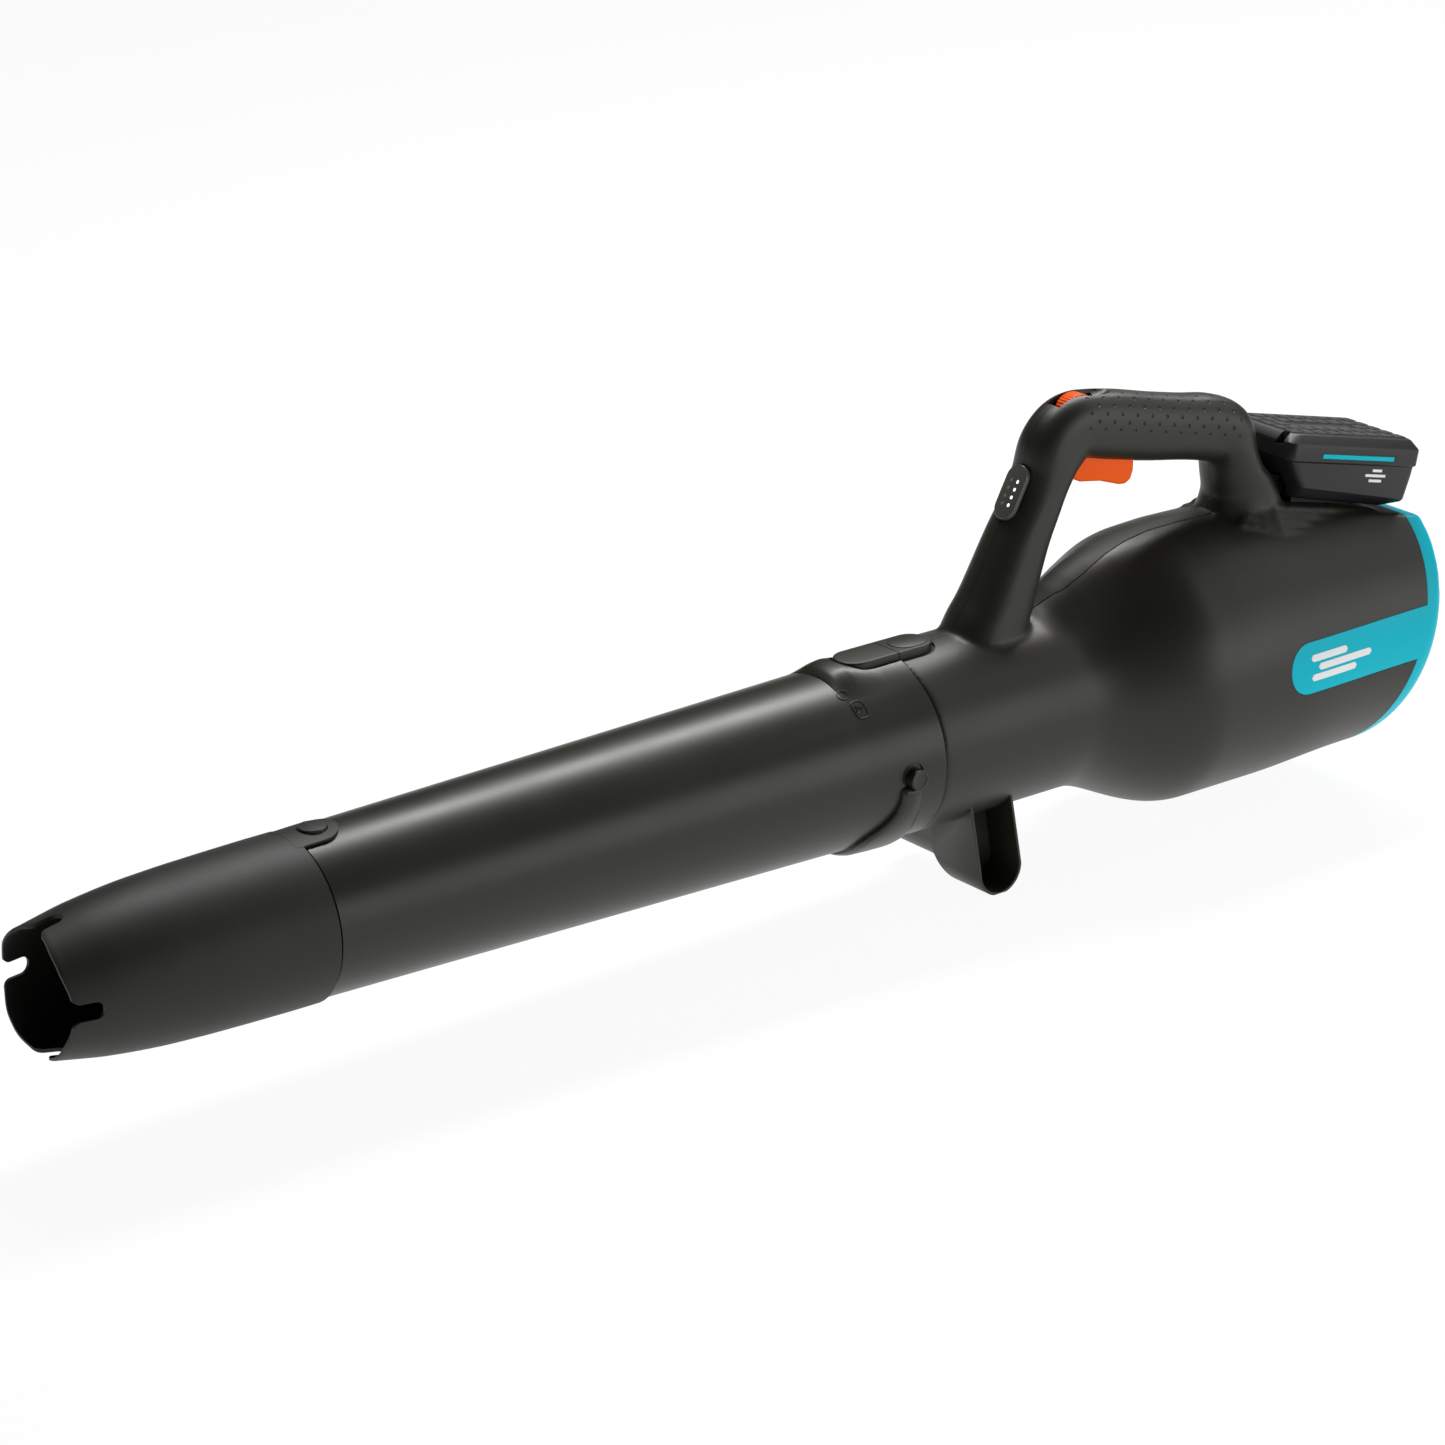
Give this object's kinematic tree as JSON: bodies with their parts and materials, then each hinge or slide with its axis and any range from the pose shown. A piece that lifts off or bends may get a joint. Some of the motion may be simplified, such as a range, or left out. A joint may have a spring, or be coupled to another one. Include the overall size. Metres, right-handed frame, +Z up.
{
  "type": "leaf blower",
  "caption": "Cordless handheld leaf blower: long round tube with notched nozzle, bulbous fan housing, loop handle with trigger and thumbwheel, slide-on battery, hooked foot.",
  "frame": {"origin": "middle of the bounding box, at the height of its lowest point, the underside of the hooked foot", "axes": "+X from the nozzle to the battery, along the tube; +Z up; -Y is the side with the deep hook"},
  "size_m": [1.0423, 0.1768, 0.3006],
  "materials": {
    "charcoal_shell": "moulded, satin",
    "nozzle_plastic": "moulded, fine grain",
    "turquoise_trim": "moulded, smooth",
    "orange_control": "moulded, smooth",
    "battery_black": "moulded, satin",
    "inner_black": "moulded",
    "panel_grey": "smooth",
    "steel": "turned",
    "copper": "wound copper wire",
    "board_green": "solder mask",
    "cell_wrap": "shrink sleeve",
    "lead_red": "smooth insulation"
  },
  "bodies": {
    "housing": {"battery_dock": "inner_black", "dock_contacts": "inner_black", "left_shell": "charcoal_shell", "right_shell": "charcoal_shell", "loop_cover": "charcoal_shell", "rear_ring": "turquoise_trim", "foot": "charcoal_shell", "post_screw_low": "steel", "post_screw_high": "steel", "grip_screw": "steel", "belly_screw_top": "steel", "belly_screw_front": "steel", "belly_screw_rear": "steel", "display_panel": "panel_grey", "intake_grille": "inner_black", "inlet_bell": "inner_black", "fan_duct": "inner_black", "front_bearing": "steel", "rear_bearing": "steel", "motor_stator": "copper", "motor_plate": "inner_black", "tail_cone": "inner_black", "control_board": "board_green", "power_switch": "inner_black", "switch_lead": "lead_red", "battery_lead": "lead_red", "motor_lead": "lead_red", "trigger_pin": "steel", "trigger_spring": "steel", "wheel_pin": "steel"},
    "fan": {"impeller": "inner_black", "motor_shaft": "steel", "motor_rotor": "steel"},
    "tube": {"blower_tube": "charcoal_shell", "retaining_band": "charcoal_shell", "band_pin_left": "charcoal_shell", "band_pin_right": "charcoal_shell"},
    "tube_latch_body": {"tube_latch": "charcoal_shell"},
    "nozzle_body": {"nozzle": "nozzle_plastic"},
    "nozzle_button_body": {"nozzle_button": "nozzle_plastic"},
    "trigger_body": {"trigger": "orange_control"},
    "speed_wheel_body": {"speed_wheel": "orange_control"},
    "battery": {"battery_case": "battery_black", "battery_lid": "battery_black", "battery_stripe_left": "turquoise_trim", "battery_stripe_right": "turquoise_trim", "battery_cell_1": "cell_wrap", "battery_cell_2": "cell_wrap", "battery_cell_3": "cell_wrap", "battery_cell_4": "cell_wrap", "battery_cell_5": "cell_wrap", "battery_board": "board_green"},
    "battery_release_body": {"battery_release": "orange_control"}
  },
  "joints": [
    {"name": "fan_spin", "type": "hinge", "parent": "housing", "child": "fan", "pos_m": [0.35342, 0, 0.1032], "axis": [1, 0, 0], "continuous": true},
    {"name": "trigger_press", "type": "hinge", "parent": "housing", "child": "trigger_body", "pos_m": [0.23842, 0, 0.2612], "axis": [0, -1, 0], "range_deg": [0, 14], "stiffness_Nm_per_rad": 0.35, "deforming": ["trigger_spring"]},
    {"name": "speed_wheel_turn", "type": "hinge", "parent": "housing", "child": "speed_wheel_body", "pos_m": [0.24442, 0, 0.2857], "axis": [0, 1, 0], "range_deg": [0, 80]},
    {"name": "tube_pull", "type": "slide", "parent": "housing", "child": "tube", "axis": [-1, 0, 0], "range_m": [0, 0.05]},
    {"name": "tube_latch_press", "type": "slide", "parent": "housing", "child": "tube_latch_body", "axis": [0, 0, -1], "range_m": [0, 0.0025], "stiffness_N_per_m": 800},
    {"name": "nozzle_pull", "type": "slide", "parent": "tube", "child": "nozzle_body", "axis": [-1, 0, 0], "range_m": [0, 0.03]},
    {"name": "nozzle_button_press", "type": "slide", "parent": "nozzle_body", "child": "nozzle_button_body", "axis": [0, 0, -1], "range_m": [0, 0.002], "stiffness_N_per_m": 500},
    {"name": "battery_slide", "type": "slide", "parent": "housing", "child": "battery", "axis": [0.9728, 0, -0.2317], "range_m": [0, 0.1]},
    {"name": "battery_release_press", "type": "slide", "parent": "battery", "child": "battery_release_body", "axis": [-0.9728, 0, 0.2317], "range_m": [0, 0.001], "stiffness_N_per_m": 800}
  ]
}
